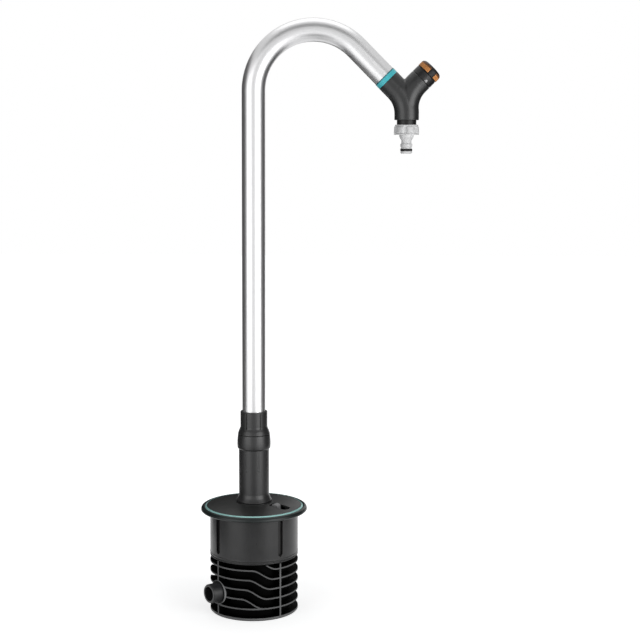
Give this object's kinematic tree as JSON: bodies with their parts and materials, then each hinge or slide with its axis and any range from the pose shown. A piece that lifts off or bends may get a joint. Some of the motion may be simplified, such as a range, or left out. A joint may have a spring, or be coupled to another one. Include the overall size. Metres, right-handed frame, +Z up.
{
  "type": "garden tap",
  "caption": "Garden tap: a bent aluminium standpipe with a Y-shaped valve head and hose nipple, plugged into a finned round ground socket box with a side inlet.",
  "frame": {"origin": "centre of the socket box's underside", "axes": "+Z up along the standpipe, +X towards the spout, +Y to the back of the picture's view"},
  "size_m": [0.3262, 0.1486, 0.8212],
  "materials": {
    "pot_black": "black moulded plastic, slightly glossy edges",
    "shell_grey": "dark grey moulded plastic, satin",
    "rim_grey": "dark grey-green moulded plastic, satin",
    "teal_trim": "teal plastic, smooth",
    "lid_dark": "dark grey plastic, satin, fine grain",
    "latch_grey": "mid grey plastic, satin",
    "inner_dark": "dark moulded plastic",
    "inner_pale": "pale natural plastic",
    "spring_steel": "drawn steel wire",
    "screw_steel": "zinc plated steel",
    "seal_rubber": "black seal rubber",
    "sleeve_black": "dark grey plastic, satin",
    "tube_silver": "satin anodised aluminium",
    "housing_black": "dark grey plastic, satin",
    "knob_black": "black plastic, satin",
    "grip_orange": "orange-brown soft plastic",
    "thread_black": "black plastic",
    "connector_grey": "light grey plastic, satin",
    "spindle_brass": "turned brass"
  },
  "bodies": {
    "ground_box": {"finned_pot": "pot_black", "upper_shell": "shell_grey", "lid_flange": "rim_grey", "lid_line_ring": "teal_trim", "lid_plate": "lid_dark", "inlet_body": "inner_dark", "receiver": "inner_dark", "receiver_gasket": "seal_rubber", "filter_sieve": "inner_pale", "poppet": "inner_pale", "poppet_seal": "seal_rubber", "poppet_spring": "spring_steel", "base_screws": "screw_steel", "lid_screws": "screw_steel", "latch_spring": "spring_steel"},
    "latch": {"lid_latch": "latch_grey"},
    "standpipe": {"stem": "inner_dark", "stem_seals": "seal_rubber", "lower_sleeve": "sleeve_black", "socket_collar": "sleeve_black", "clamp_nut": "sleeve_black", "collet_ring": "inner_pale", "tube_seal": "seal_rubber", "spout_tube": "tube_silver", "spacer_ring": "teal_trim", "tap_housing": "housing_black", "spigot_seal": "seal_rubber", "bonnet": "housing_black", "bonnet_seal": "seal_rubber", "outlet_thread": "thread_black", "tap_connector": "connector_grey", "connector_washer": "seal_rubber", "nipple_seal": "seal_rubber", "spindle_seal": "seal_rubber"},
    "knob": {"knob": "knob_black", "knob_grips": "grip_orange", "spindle": "spindle_brass", "knob_screw": "screw_steel", "knob_cap": "knob_black"},
    "valve_plug": {"valve_plug": "inner_pale", "plug_seal": "seal_rubber"}
  },
  "joints": [
    {"name": "standpipe_swivel", "type": "hinge", "parent": "ground_box", "child": "standpipe", "pos_m": [0, 0, 0.15], "axis": [0, 0, 1], "continuous": true},
    {"name": "latch_press", "type": "slide", "parent": "ground_box", "child": "latch", "axis": [-0.848, 0.5299, 0], "range_m": [0, 0.0026], "stiffness_N_per_m": 800, "springref_m": -0.003, "deforming": ["latch_spring"]},
    {"name": "knob_turn", "type": "hinge", "parent": "standpipe", "child": "knob", "pos_m": [0.20394, 0, 0.71652], "axis": [0.7071, 0, 0.7071], "range_deg": [0, 360]},
    {"name": "plug_lift", "type": "slide", "parent": "standpipe", "child": "valve_plug", "axis": [0.7071, 0, 0.7071], "range_m": [0, 0.005]}
  ],
  "couplings": [
    {"joint": "knob_turn", "follows": "plug_lift", "rad_per_m": 1256.6}
  ]
}
